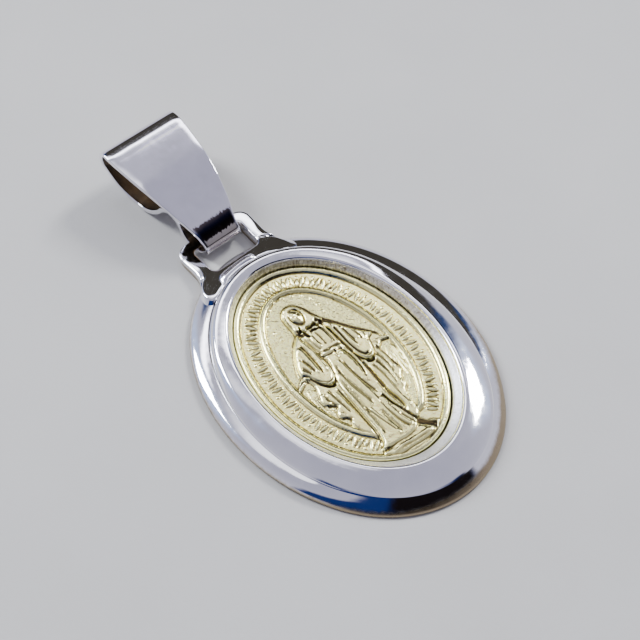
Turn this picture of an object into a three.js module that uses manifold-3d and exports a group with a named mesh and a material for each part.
// A religious medal pendant lying face up: an oval white-metal frame with a yoke, a yellow-gold
// medal set in it, and a folded sheet bail that swings on the yoke's bar.
// Millimetres, +Z up, +Y from the oval towards the bail.
import * as THREE from 'three';
import Module from 'manifold-3d';

const wasm = await Module();
wasm.setup();

// Frame: the outer oval
const OVAL_WIDTH = 18;
const OVAL_LENGTH = 23.4;
// Frame: the shoulder between the outer oval and the raised band
const SHOULDER_SIDE = 1.15;
const SHOULDER_TOP = 1.48;
const SHOULDER_FOOT = 0.78;
const SHOULDER_HEIGHT = 0.8;
// Frame: the raised band between the shoulder and the opening
const BAND_SIDE = 1.6;
const BAND_TOP = 1.1;
const BAND_FOOT = 2.1;
const BAND_STEP = 0.16;
const BAND_HEIGHT = 1.54;
// Frame: the ledge that carries the medal
const LEDGE_HEIGHT = 0.36;
const LEDGE_LAP = 0.6;
const OVAL_SEGMENTS = 80;

// Yoke: a fork on top of the oval, with a round-edged bar across it
const YOKE_LENGTH = 2.8;
const YOKE_ARM = 1.03;
const YOKE_CORNER = 0.8;
const YOKE_EDGE = 0.16;
const YOKE_SINK = 0.22;
const FLARE_REACH = 0.65;
const FLARE_LENGTH = 1.76;
const WINDOW_WIDTH = 3.84;
const WINDOW_SINK = 0.5;
const WINDOW_CORNER = 0.45;
const BAR_LENGTHWAYS = 0.78;
const BAR_THICKNESS = 0.5;
const BAR_ROUNDING = 0.19;
const BAR_SETBACK = 0.1;

// Medal: its gaps in the opening, and its plate with a raised rim and an inner moulding
const MEDAL_SIDE_GAP = 0.42;
const MEDAL_TOP_GAP = 0.2;
const MEDAL_FOOT_GAP = 0.9;
const MEDAL_SEAT_GAP = 0.05;
const PLATE_THICKNESS = 0.24;
const RIM_WIDTH = 0.5;
const RIM_HEIGHT = 0.2;
const BORDER_SIDE = 1.48;
const BORDER_END = 1.27;
const MOULDING_WIDTH = 0.32;
const MOULDING_HEIGHT = 0.16;
const MEDAL_SEGMENTS = 72;

// Bail: one folded strip, sizes over all, and its gaps round the bar and in the window
const BAIL_LENGTH = 10.15;
const BAIL_DEPTH = 4.2;
const BAIL_WIDTH = 6.06;
const BAIL_THICKNESS = 0.33;
const BAR_UNDER_GAP = 0.22;
const BAR_FOLD_GAP = 0.74;
const WINDOW_SIDE_GAP = 0.5;
const BAIL_SAMPLES = 84;
const EYE_SAMPLES = 44;
const LOOP_SAMPLES = 30;

// Rows round the frame's section: a share of the way in, and a share of the height
const SHOULDER_PATH = [
  { inward: 0.3, rise: 0 },
  { inward: 0.06, rise: 0.12 },
  { inward: 0, rise: 0.32 },
  { inward: 0.08, rise: 0.55 },
  { inward: 0.32, rise: 0.78 },
  { inward: 0.66, rise: 0.93 },
  { inward: 0.97, rise: 1 },
];
const BAND_PATH = [
  { inward: 0, rise: 0 },
  { inward: 0.1, rise: 0.2 },
  { inward: 0.4, rise: 0.62 },
  { inward: 0.7, rise: 0.9 },
  { inward: 0.88, rise: 1 },
  { inward: 0.97, rise: 0.93 },
  { inward: 1, rise: 0.75 },
];
const RIM_PATH = [
  { inward: 0, rise: 0.2 },
  { inward: 0.15, rise: 0.85 },
  { inward: 0.4, rise: 1 },
  { inward: 0.75, rise: 0.85 },
  { inward: 1, rise: 0 },
];
const MOULDING_PATH = [
  { inward: 0, rise: 0 },
  { inward: 0.3, rise: 0.9 },
  { inward: 0.6, rise: 0.9 },
  { inward: 1, rise: 0 },
];

// The strip's outer path, from the fold up the front, over the top and down the back. Each row is
// a share of the bail's length from the fold, of its depth above the ground, and of the way from
// the width of its neck to its full width.
const BAIL_PATH = [
  { along: 0.0, height: 0.26, width: 0.003 },
  { along: 0.015, height: 0.357, width: 0.012 },
  { along: 0.0625, height: 0.464, width: 0.05 },
  { along: 0.163, height: 0.633, width: 0.247 },
  { along: 0.26, height: 0.733, width: 0.417 },
  { along: 0.356, height: 0.826, width: 0.571 },
  { along: 0.452, height: 0.905, width: 0.689 },
  { along: 0.548, height: 0.96, width: 0.793 },
  { along: 0.692, height: 0.994, width: 0.906 },
  { along: 0.83, height: 0.998, width: 0.972 },
  { along: 0.923, height: 0.955, width: 1 },
  { along: 0.98, height: 0.845, width: 0.994 },
  { along: 1.0, height: 0.71, width: 0.953 },
  { along: 0.985, height: 0.548, width: 0.878 },
  { along: 0.942, height: 0.38, width: 0.793 },
  { along: 0.875, height: 0.19, width: 0.68 },
  { along: 0.798, height: 0.054, width: 0.558 },
  { along: 0.71, height: 0.002, width: 0.482 },
  { along: 0.625, height: 0.027, width: 0.454 },
  { along: 0.538, height: 0.143, width: 0.435 },
  { along: 0.461, height: 0.32, width: 0.426 },
  { along: 0.394, height: 0.524, width: 0.426 },
  { along: 0.327, height: 0.631, width: 0.417 },
  { along: 0.28, height: 0.524, width: 0.322 },
  { along: 0.266, height: 0.357, width: 0.247 },
  { along: 0.262, height: 0.18, width: 0.163 },
  { along: 0.235, height: 0.055, width: 0.115 },
  { along: 0.17, height: 0.005, width: 0.078 },
  { along: 0.096, height: 0.024, width: 0.05 },
  { along: 0.034, height: 0.119, width: 0.021 },
];
// Rows of the path between which the strip stands free round each of its two holes
const EYE_ROWS = [5.1, 20.95];
const LOOP_ROWS = [23.2, 34];

// Joining and cutting

function solidOf(geometry) {
  const soup = geometry.index ? geometry.toNonIndexed() : geometry;
  const corners = new Float32Array(soup.attributes.position.array);
  const mesh = new wasm.Mesh({
    numProp: 3,
    vertProperties: corners,
    triVerts: Uint32Array.from({ length: corners.length / 3 }, (unused, index) => index),
  });
  mesh.merge();
  return new wasm.Manifold(mesh);
}

function geometryOf(solid) {
  const mesh = solid.getMesh();
  const geometry = new THREE.BufferGeometry();
  geometry.setAttribute('position', new THREE.BufferAttribute(mesh.vertProperties, 3));
  geometry.setIndex(new THREE.BufferAttribute(mesh.triVerts, 1));
  geometry.computeVertexNormals();
  return geometry;
}

function join(geometries) {
  return geometries.map(solidOf).reduce((whole, solid) => whole.add(solid));
}

// Ovals: half sizes, a shift along Y and a height

function inset(ring, side, top, foot) {
  return {
    across: ring.across - side,
    along: ring.along - (top + foot) / 2,
    shift: ring.shift + (foot - top) / 2,
    height: ring.height,
  };
}

function at(ring, height) {
  return { ...ring, height };
}

function between(first, second, share, height) {
  return {
    across: THREE.MathUtils.lerp(first.across, second.across, share),
    along: THREE.MathUtils.lerp(first.along, second.along, share),
    shift: THREE.MathUtils.lerp(first.shift, second.shift, share),
    height,
  };
}

function ovalPoint(ring, turn) {
  const x = ring.across * Math.cos(turn);
  const y = ring.along * Math.sin(turn) + ring.shift;
  return [x, y, ring.height];
}

// A skin over a run of ovals, counterclockwise in section. It closes on itself, or with a fan at
// each end.
function loft(rings, segments, closesOnItself) {
  const positions = [];
  const faces = [];
  for (const ring of rings) {
    for (let step = 0; step < segments; step += 1) {
      positions.push(...ovalPoint(ring, (step / segments) * 2 * Math.PI));
    }
  }
  const bands = closesOnItself ? rings.length : rings.length - 1;
  for (let row = 0; row < bands; row += 1) {
    const here = row * segments;
    const next = ((row + 1) % rings.length) * segments;
    for (let step = 0; step < segments; step += 1) {
      const beside = (step + 1) % segments;
      faces.push(here + step, here + beside, next + beside);
      faces.push(here + step, next + beside, next + step);
    }
  }
  if (!closesOnItself) {
    const first = rings[0];
    const last = rings[rings.length - 1];
    const start = positions.length / 3;
    positions.push(0, first.shift, first.height, 0, last.shift, last.height);
    for (let step = 0; step < segments; step += 1) {
      const beside = (step + 1) % segments;
      const top = (rings.length - 1) * segments;
      faces.push(start, beside, step);
      faces.push(start + 1, top + step, top + beside);
    }
  }
  const geometry = new THREE.BufferGeometry();
  geometry.setAttribute('position', new THREE.Float32BufferAttribute(positions, 3));
  geometry.setIndex(faces);
  return geometry;
}

const outline = { across: OVAL_WIDTH / 2, along: OVAL_LENGTH / 2, shift: 0, height: 0 };
const band = inset(outline, SHOULDER_SIDE, SHOULDER_TOP, SHOULDER_FOOT);
const opening = inset(band, BAND_SIDE, BAND_TOP, BAND_FOOT);
const medalOval = inset(opening, MEDAL_SIDE_GAP, MEDAL_TOP_GAP, MEDAL_FOOT_GAP);
const ledge = inset(medalOval, LEDGE_LAP, LEDGE_LAP, LEDGE_LAP);
const field = inset(medalOval, RIM_WIDTH, RIM_WIDTH, RIM_WIDTH);
const innerOval = inset(field, BORDER_SIDE, BORDER_END, BORDER_END);

// Frame

function frameRing() {
  const foot = SHOULDER_HEIGHT + BAND_STEP;
  return loft([
    ...SHOULDER_PATH.map((row) => between(outline, band, row.inward, row.rise * SHOULDER_HEIGHT)),
    ...BAND_PATH.map((row) => (
      between(band, opening, row.inward, THREE.MathUtils.lerp(foot, BAND_HEIGHT, row.rise))
    )),
    at(opening, LEDGE_HEIGHT),
    at(ledge, LEDGE_HEIGHT),
    ledge,
  ], OVAL_SEGMENTS, true);
}

const yokeRoot = band.shift + band.along - YOKE_SINK;
const yokeEnd = outline.along + YOKE_LENGTH;
const yokeSide = WINDOW_WIDTH / 2 + YOKE_ARM;
const windowStart = outline.along - WINDOW_SINK;
const barY = yokeEnd - BAR_SETBACK - BAR_LENGTHWAYS / 2;
const barHeight = BAIL_THICKNESS + BAR_UNDER_GAP + BAR_THICKNESS / 2;

// The yoke's fork in plan: its root lies inside the band, and it flares into the oval
function forkShape() {
  const side = yokeSide;
  const flare = yokeSide + FLARE_REACH;
  const flareEnd = yokeRoot + FLARE_LENGTH;
  const bend = yokeRoot + FLARE_LENGTH / 2;
  const slot = WINDOW_WIDTH / 2;
  const shape = new THREE.Shape();
  shape.moveTo(-flare, yokeRoot);
  shape.lineTo(flare, yokeRoot);
  shape.bezierCurveTo(flare, bend, side, bend, side, flareEnd);
  shape.lineTo(side, yokeEnd - YOKE_CORNER);
  shape.quadraticCurveTo(side, yokeEnd, side - YOKE_CORNER, yokeEnd);
  shape.lineTo(slot, yokeEnd);
  shape.lineTo(slot, windowStart + WINDOW_CORNER);
  shape.quadraticCurveTo(slot, windowStart, slot - WINDOW_CORNER, windowStart);
  shape.lineTo(-slot + WINDOW_CORNER, windowStart);
  shape.quadraticCurveTo(-slot, windowStart, -slot, windowStart + WINDOW_CORNER);
  shape.lineTo(-slot, yokeEnd);
  shape.lineTo(-side + YOKE_CORNER, yokeEnd);
  shape.quadraticCurveTo(-side, yokeEnd, -side, yokeEnd - YOKE_CORNER);
  shape.lineTo(-side, flareEnd);
  shape.bezierCurveTo(-side, bend, -flare, bend, -flare, yokeRoot);
  return shape;
}

// The arms rise from the shoulder to the bar, so the bar stands clear of the ground
function forkHeight(y) {
  const rampStart = windowStart + WINDOW_CORNER;
  const rampEnd = barY - BAR_LENGTHWAYS / 2;
  const share = THREE.MathUtils.clamp((y - rampStart) / (rampEnd - rampStart), 0, 1);
  return THREE.MathUtils.lerp(SHOULDER_HEIGHT, barHeight + BAR_THICKNESS / 2, share);
}

function yokeFork() {
  const geometry = new THREE.ExtrudeGeometry(forkShape(), {
    depth: 1 - 2 * YOKE_EDGE,
    bevelThickness: YOKE_EDGE,
    bevelSize: YOKE_EDGE,
    bevelOffset: -YOKE_EDGE,
    bevelSegments: 2,
    curveSegments: 5,
  });
  geometry.translate(0, 0, YOKE_EDGE);
  const position = geometry.attributes.position;
  for (let index = 0; index < position.count; index += 1) {
    position.setZ(index, position.getZ(index) * forkHeight(position.getY(index)));
  }
  return geometry;
}

function yokeBar() {
  const halfLength = BAR_LENGTHWAYS / 2;
  const halfHeight = BAR_THICKNESS / 2;
  const round = BAR_ROUNDING;
  const section = new THREE.Shape();
  section.absarc(halfLength - round, halfHeight - round, round, 0, Math.PI / 2);
  section.absarc(round - halfLength, halfHeight - round, round, Math.PI / 2, Math.PI);
  section.absarc(round - halfLength, round - halfHeight, round, Math.PI, Math.PI * 1.5);
  section.absarc(halfLength - round, round - halfHeight, round, Math.PI * 1.5, Math.PI * 2);
  const span = WINDOW_WIDTH + YOKE_ARM;
  const geometry = new THREE.ExtrudeGeometry(section, {
    depth: span,
    bevelEnabled: false,
    curveSegments: 4,
  });
  geometry.translate(0, 0, -span / 2);
  geometry.rotateY(Math.PI / 2);
  geometry.rotateX(Math.PI / 2);
  geometry.translate(0, barY, barHeight);
  return geometry;
}

// Medal

const seatHeight = LEDGE_HEIGHT + MEDAL_SEAT_GAP;
const fieldHeight = seatHeight + PLATE_THICKNESS;

// A ridge that follows an oval inwards
function ridge(ring, path, width, height) {
  return path.map((row) => {
    const by = row.inward * width;
    return at(inset(ring, by, by, by), fieldHeight + row.rise * height);
  });
}

function medalPlate() {
  return loft([
    at(medalOval, seatHeight),
    ...ridge(medalOval, RIM_PATH, RIM_WIDTH, RIM_HEIGHT),
    ...ridge(innerOval, MOULDING_PATH, MOULDING_WIDTH, MOULDING_HEIGHT),
  ], MEDAL_SEGMENTS, false);
}

// Relief: pieces that stand on the medal's field and sink a little into its plate
const RELIEF_ROOT = 0.1;
const RELIEF_EDGE = 0.45;
const MANTLE_HEIGHT = 0.24;
const ROBE_HEIGHT = 0.34;
const SLEEVE_HEIGHT = 0.3;
const HEAD_HEIGHT = 0.42;
const HAND_HEIGHT = 0.22;
const GLOBE_HEIGHT = 0.26;
const LINE_HEIGHT = 0.1;
const RAY_WIDTH = 0.2;
const RAYS_PER_HAND = 5;
const STAR_COUNT = 12;
const STAR_SIZE = 0.24;
const LEAF_COUNT = 58;
const LEAF_LENGTH = 0.86;
const LEAF_WIDTH = 0.36;
const LEAF_HEIGHT = 0.13;
// Turns, in half turns: the rays' fan and lean, the ends of the row of stars, and the leaves' gap
const RAY_SPREAD = 0.05;
const RAY_LEAN = 0.064;
const STAR_ENDS = [-0.12, 1.12];
const LEAF_GAP = 0.14;
// The figure's share of the inner oval's length, then shares of the figure's height
const FIGURE_FILL = 0.932;
const RAY_REACH = 0.25;
const STAR_RING = 0.149;

// Outlines of the figure, as shares of its height from the middle of the medal
const MANTLE = [
  [-0.06, 0.3], [-0.119, 0.265], [-0.17, 0.17], [-0.212, 0.068], [-0.262, 0.01], [-0.236, -0.11],
  [-0.201, -0.186], [-0.221, -0.261], [-0.186, -0.312], [-0.15, -0.475], [0.093, -0.503],
  [0.136, -0.346], [0.168, -0.331], [0.179, -0.281], [0.217, -0.221], [0.202, -0.144],
  [0.27, -0.035], [0.2, 0.1], [0.15, 0.19], [0.092, 0.264], [0.04, 0.3],
];
const ROBE = [
  [-0.05, 0.27], [-0.06, 0.17], [-0.05, 0.1], [-0.1, -0.1], [-0.14, -0.32], [-0.185, -0.532],
  [-0.069, -0.565], [0.052, -0.55], [0.07, -0.35], [0.075, -0.1], [0.06, 0.1], [0.065, 0.17],
  [0.045, 0.27],
];
const LEFT_SLEEVE = [
  [-0.115, 0.262], [-0.165, 0.16], [-0.205, 0.07], [-0.24, 0.03], [-0.16, -0.077], [-0.109, -0.093],
  [-0.075, -0.03], [-0.05, 0.08], [-0.06, 0.2],
];
const RIGHT_SLEEVE = [
  [0.088, 0.262], [0.06, 0.2], [0.05, 0.07], [0.098, -0.08], [0.151, -0.102], [0.194, -0.052],
  [0.25, -0.005], [0.19, 0.1], [0.14, 0.19],
];
const GLOBE = [
  [-0.225, -0.555], [-0.12, -0.505], [-0.02, -0.49], [0.09, -0.512], [0.16, -0.56], [0.06, -0.617],
  [-0.03, -0.628], [-0.13, -0.608],
];
const HEAD = { x: -0.009, y: 0.355, across: 0.063, along: 0.082 };
const HANDS = [
  { x: -0.262, y: -0.012, across: 0.032, along: 0.024, lean: 1 },
  { x: 0.272, y: -0.04, across: 0.032, along: 0.024, lean: -1 },
];

const figureHeight = FIGURE_FILL * 2 * innerOval.along;

function figurePoint([x, y]) {
  return new THREE.Vector2(x * figureHeight, y * figureHeight + innerOval.shift);
}

function reliefPiece(outline, height) {
  const curve = new THREE.SplineCurve([...outline, outline[0]].map(figurePoint));
  const shape = new THREE.Shape(curve.getPoints(outline.length * 2).slice(0, -1));
  const edge = height * RELIEF_EDGE;
  const geometry = new THREE.ExtrudeGeometry(shape, {
    depth: height + RELIEF_ROOT - 2 * edge,
    bevelThickness: edge,
    bevelSize: edge,
    bevelOffset: -edge,
    bevelSegments: 1,
  });
  return geometry.translate(0, 0, fieldHeight - RELIEF_ROOT + edge);
}

// Keeps the part of a piece below the field no deeper than the relief's root
function rooted(geometry) {
  const position = geometry.attributes.position;
  for (let index = 0; index < position.count; index += 1) {
    position.setZ(index, Math.max(position.getZ(index), -RELIEF_ROOT));
  }
  return geometry.translate(0, 0, fieldHeight);
}

// A low dome on the field, at a place of the figure
function dome(place, height) {
  const { x, y } = figurePoint([place.x, place.y]);
  return rooted(new THREE.SphereGeometry(1, 14, 10)
    .rotateX(Math.PI / 2)
    .scale(place.across * figureHeight, place.along * figureHeight, height)
    .translate(x, y, 0));
}

// A raised lozenge with a ridge, lying along a direction
function lozenge(x, y, length, width, height, turn) {
  return rooted(new THREE.OctahedronGeometry(1)
    .scale(length / 2, width / 2, height)
    .rotateZ(turn)
    .translate(x, y, 0));
}

function rays() {
  const reach = RAY_REACH * figureHeight;
  return HANDS.flatMap((hand) => {
    const root = figurePoint([hand.x, hand.y]);
    return Array.from({ length: RAYS_PER_HAND }, (unused, index) => {
      const fan = (index - (RAYS_PER_HAND - 1) / 2) * RAY_SPREAD;
      const turn = (hand.lean * RAY_LEAN + fan - 0.5) * Math.PI;
      const x = root.x + Math.cos(turn) * reach / 2;
      const y = root.y + Math.sin(turn) * reach / 2;
      return lozenge(x, y, reach, RAY_WIDTH, LINE_HEIGHT, turn);
    });
  });
}

function stars() {
  const place = figurePoint([HEAD.x, HEAD.y]);
  const radius = STAR_RING * figureHeight;
  return Array.from({ length: STAR_COUNT }, (unused, index) => {
    const share = index / (STAR_COUNT - 1);
    const turn = THREE.MathUtils.lerp(STAR_ENDS[0], STAR_ENDS[1], share) * Math.PI;
    const x = place.x + Math.cos(turn) * radius;
    const y = place.y + Math.sin(turn) * radius;
    return lozenge(x, y, STAR_SIZE, STAR_SIZE, LINE_HEIGHT, turn);
  });
}

// The border of leaves runs round the medal, but for the globe at its foot
function leaves() {
  const middle = between(field, innerOval, 0.5, 0);
  return Array.from({ length: LEAF_COUNT }, (unused, index) => {
    const share = (index + 0.5) / LEAF_COUNT;
    const turn = THREE.MathUtils.lerp(LEAF_GAP - 0.5, 1.5 - LEAF_GAP, share) * Math.PI;
    const [x, y] = ovalPoint(middle, turn);
    const outward = Math.atan2(Math.sin(turn) / middle.along, Math.cos(turn) / middle.across);
    return lozenge(x, y, LEAF_LENGTH, LEAF_WIDTH, LEAF_HEIGHT, outward);
  });
}

function medal() {
  return join([
    medalPlate(),
    reliefPiece(MANTLE, MANTLE_HEIGHT),
    reliefPiece(ROBE, ROBE_HEIGHT),
    reliefPiece(LEFT_SLEEVE, SLEEVE_HEIGHT),
    reliefPiece(RIGHT_SLEEVE, SLEEVE_HEIGHT),
    reliefPiece(GLOBE, GLOBE_HEIGHT),
    dome(HEAD, HEAD_HEIGHT),
    ...HANDS.map((hand) => dome(hand, HAND_HEIGHT)),
    ...rays(),
    ...stars(),
    ...leaves(),
  ]);
}

// Bail

const foldY = barY - BAR_LENGTHWAYS / 2 - BAR_FOLD_GAP - BAIL_THICKNESS;
const neckWidth = WINDOW_WIDTH - 2 * WINDOW_SIDE_GAP;
const bailCurve = new THREE.CatmullRomCurve3(BAIL_PATH.map((row) => new THREE.Vector3(
  THREE.MathUtils.lerp(neckWidth, BAIL_WIDTH, row.width) / 2,
  foldY + row.along * BAIL_LENGTH,
  row.height * BAIL_DEPTH,
)), true, 'centripetal');

// A point of the path by its row, moved in from the outer face by a depth
function bailPoint(row, depth) {
  const place = (row / BAIL_PATH.length) % 1;
  const point = bailCurve.getPoint(place);
  const along = bailCurve.getTangent(place);
  const length = Math.hypot(along.y, along.z);
  point.y += (along.z / length) * depth;
  point.z -= (along.y / length) * depth;
  return point;
}

function bailLoop(from, to, count, depth) {
  return Array.from({ length: count }, (unused, index) => (
    bailPoint(THREE.MathUtils.lerp(from, to, index / (count - 1)), depth)
  ));
}

// Turns flat loops in the YZ plane into a solid whose sides stand at each point's own width
function stripSolid(outer, holes) {
  const flat = (loop) => loop.map((point) => new THREE.Vector2(point.y, point.z));
  const turned = (loop, clockwise) => (
    THREE.ShapeUtils.isClockWise(flat(loop)) === clockwise ? loop : [...loop].reverse()
  );
  const loops = [turned(outer, false), ...holes.map((hole) => turned(hole, true))];
  const points = loops.flat();
  const count = points.length;
  const positions = [];
  for (const side of [1, -1]) {
    points.forEach((point) => positions.push(side * point.x, point.y, point.z));
  }
  const faces = [];
  const sheet = THREE.ShapeUtils.triangulateShape(flat(loops[0]), loops.slice(1).map(flat));
  for (const [first, second, third] of sheet) {
    faces.push(first, second, third);
    faces.push(first + count, third + count, second + count);
  }
  let start = 0;
  for (const loop of loops) {
    loop.forEach((unused, index) => {
      const here = start + index;
      const next = start + ((index + 1) % loop.length);
      faces.push(here, here + count, next + count);
      faces.push(here, next + count, next);
    });
    start += loop.length;
  }
  const geometry = new THREE.BufferGeometry();
  geometry.setAttribute('position', new THREE.Float32BufferAttribute(positions, 3));
  geometry.setIndex(faces);
  return geometry;
}

function bail() {
  const outer = bailLoop(0, BAIL_PATH.length * (1 - 1 / BAIL_SAMPLES), BAIL_SAMPLES, 0);
  const eye = bailLoop(EYE_ROWS[0], EYE_ROWS[1], EYE_SAMPLES, BAIL_THICKNESS);
  const loop = bailLoop(LOOP_ROWS[0], LOOP_ROWS[1], LOOP_SAMPLES, BAIL_THICKNESS);
  return solidOf(stripSolid(outer, [eye, loop]));
}

// The pendant

const whiteMetal = new THREE.MeshStandardMaterial({ color: 0xc9c7d2, roughness: 0.12, metalness: 1 });
const satinMetal = new THREE.MeshStandardMaterial({ color: 0xb9b6c6, roughness: 0.35, metalness: 1 });
const yellowGold = new THREE.MeshStandardMaterial({ color: 0xd9c98a, roughness: 0.22, metalness: 1 });

function part(name, solid, material) {
  const mesh = new THREE.Mesh(geometryOf(solid), material);
  mesh.name = name;
  return mesh;
}

const pendant = new THREE.Group();
pendant.add(
  part('frame', join([frameRing(), yokeFork(), yokeBar()]), whiteMetal),
  part('medal', medal(), yellowGold),
  part('bail', bail(), satinMetal),
);

// The origin is the middle of the base of the pendant's box
const box = new THREE.Box3().setFromObject(pendant, true);
const middle = box.getCenter(new THREE.Vector3());
pendant.position.set(-middle.x, -middle.y, -box.min.z);
pendant.updateMatrixWorld(true);

export default pendant;
